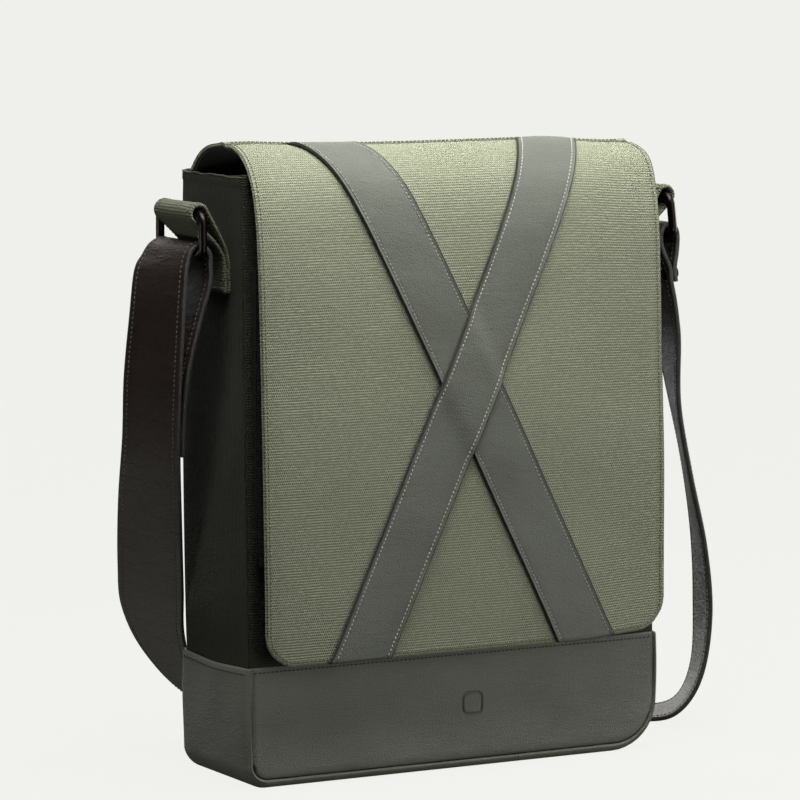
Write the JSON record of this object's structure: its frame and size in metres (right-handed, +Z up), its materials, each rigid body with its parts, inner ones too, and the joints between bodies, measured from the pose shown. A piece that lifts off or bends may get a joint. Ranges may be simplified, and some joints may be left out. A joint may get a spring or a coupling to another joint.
{
  "type": "messenger bag",
  "caption": "Upright canvas messenger bag with a leather base, a front flap with crossed leather straps, a padded sleeve inside and a leather shoulder strap on metal rings.",
  "frame": {"origin": "middle of the bag body's footprint, on the surface it stands on", "axes": "+Z up; -Y the flap's side, the front; +Y the back; +X the bag's right seen from the front"},
  "size_m": [0.4073, 0.1985, 0.382],
  "materials": {
    "base_leather": "waxed, warm dark grey",
    "strap_leather": "smooth, very dark brown, creased",
    "body_canvas": "ribbed heavy canvas, dark olive",
    "flap_canvas": "ribbed heavy canvas, waxed olive",
    "tab_canvas": "ribbed canvas webbing",
    "lining_cloth": "plain cotton lining",
    "zip_tape": "woven zip tape",
    "zip_coil": "nylon coil",
    "dark_metal": "dark plated, polished",
    "foam": "closed-cell foam",
    "stiff_board": "stiff sheet"
  },
  "bodies": {
    "bag": {"base_front_panel": "base_leather", "base_back_panel": "base_leather", "base_side_left": "base_leather", "base_side_right": "base_leather", "base_bottom": "base_leather", "front_panel": "body_canvas", "back_panel": "body_canvas", "gusset_left": "body_canvas", "gusset_right": "body_canvas", "mouth_facing": "body_canvas", "lining": "lining_cloth", "back_foam": "foam", "base_board": "stiff_board", "laptop_sleeve_panel": "lining_cloth", "inner_slip_pocket": "lining_cloth", "zip_pocket_cloth": "lining_cloth", "zip_tape": "zip_tape", "zip_coil": "zip_coil", "zip_end_stops": "dark_metal", "front_pocket_panel": "body_canvas", "front_pocket_gusset": "body_canvas", "snap_sockets": "dark_metal", "tab_left": "tab_canvas", "tab_right": "tab_canvas"},
    "flap_top": {"flap_top_canvas": "flap_canvas", "flap_top_lining": "lining_cloth"},
    "flap_front": {"flap_front_canvas": "flap_canvas", "flap_stiffener": "stiff_board", "flap_front_lining": "lining_cloth", "cross_strap_under": "base_leather", "cross_strap_over": "base_leather", "snap_studs": "dark_metal"},
    "ring_left_body": {"ring_left": "dark_metal"},
    "ring_right_body": {"ring_right": "dark_metal"},
    "strap": {"shoulder_strap": "strap_leather", "strap_rivets": "dark_metal"},
    "slider": {"zip_slider": "dark_metal"},
    "pull": {"zip_pull": "dark_metal"}
  },
  "joints": [
    {"name": "flap_lift", "type": "hinge", "parent": "bag", "child": "flap_top", "pos_m": [0, 0.0444, 0.3643], "axis": [-1, 0, 0], "range_deg": [0, 165]},
    {"name": "flap_fold", "type": "hinge", "parent": "flap_top", "child": "flap_front", "pos_m": [0, -0.012, 0.38], "axis": [-1, 0, 0], "range_deg": [0, 75]},
    {"name": "ring_swing_left", "type": "hinge", "parent": "bag", "child": "ring_left_body", "pos_m": [-0.1605, 0.0025, 0.3415], "axis": [0, 1, 0], "range_deg": [-2, 6]},
    {"name": "ring_swing_right", "type": "hinge", "parent": "bag", "child": "ring_right_body", "pos_m": [0.1605, 0.0025, 0.3415], "axis": [0, 1, 0], "range_deg": [-2, 6]},
    {"name": "strap_hang", "type": "hinge", "parent": "ring_left_body", "child": "strap", "pos_m": [-0.1605, 0.0025, 0.3165], "axis": [0, 1, 0], "range_deg": [-6, 2]},
    {"name": "zip_slide", "type": "slide", "parent": "bag", "child": "slider", "axis": [-1, 0, 0], "range_m": [0, 0.15]},
    {"name": "pull_swing", "type": "hinge", "parent": "slider", "child": "pull", "pos_m": [0.081, 0.0142, 0.238], "axis": [-1, 0, 0], "range_deg": [0, 150]}
  ],
  "couplings": [
    {"joint": "ring_swing_right", "follows": "ring_swing_left", "ratio": 1},
    {"joint": "strap_hang", "follows": "ring_swing_left", "ratio": -1}
  ]
}
